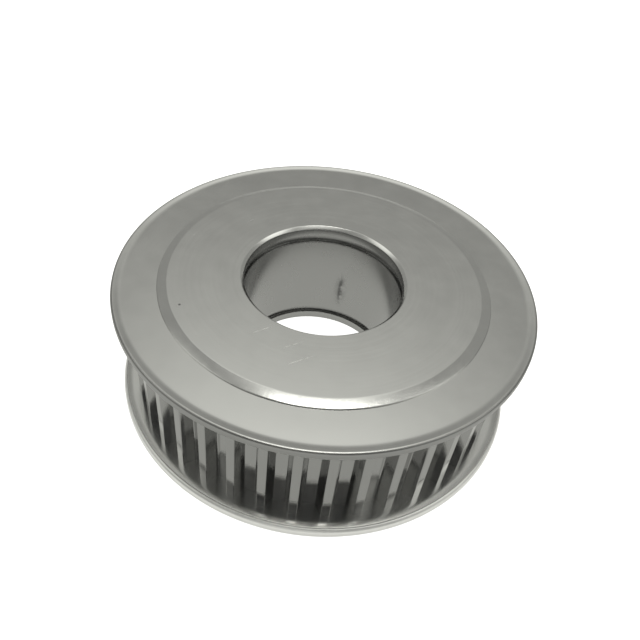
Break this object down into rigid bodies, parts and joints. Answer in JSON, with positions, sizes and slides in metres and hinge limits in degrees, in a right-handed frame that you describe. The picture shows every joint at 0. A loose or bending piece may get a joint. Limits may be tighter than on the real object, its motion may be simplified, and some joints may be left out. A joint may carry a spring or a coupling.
{
  "type": "timing belt pulley",
  "caption": "Hubless double-flanged toothed pulley for a trapezoidal timing belt, with a plain bearing bore grooved for retaining rings at both ends.",
  "frame": {"origin": "on the bore axis, half-way between the two end faces, at the middle of the belt's width", "axes": "+Z along the bore axis, towards the upper flange; a tooth land is centred on +X"},
  "size_m": [0.068, 0.068, 0.0224],
  "materials": {
    "machined_aluminium": "bead-blasted and turned satin, bare metal",
    "flange_sheet": "zinc-plated pressed sheet, satin"
  },
  "bodies": {
    "root": {"toothed_body": "machined_aluminium", "upper_flange": "flange_sheet", "lower_flange": "flange_sheet"}
  },
  "joints": []
}
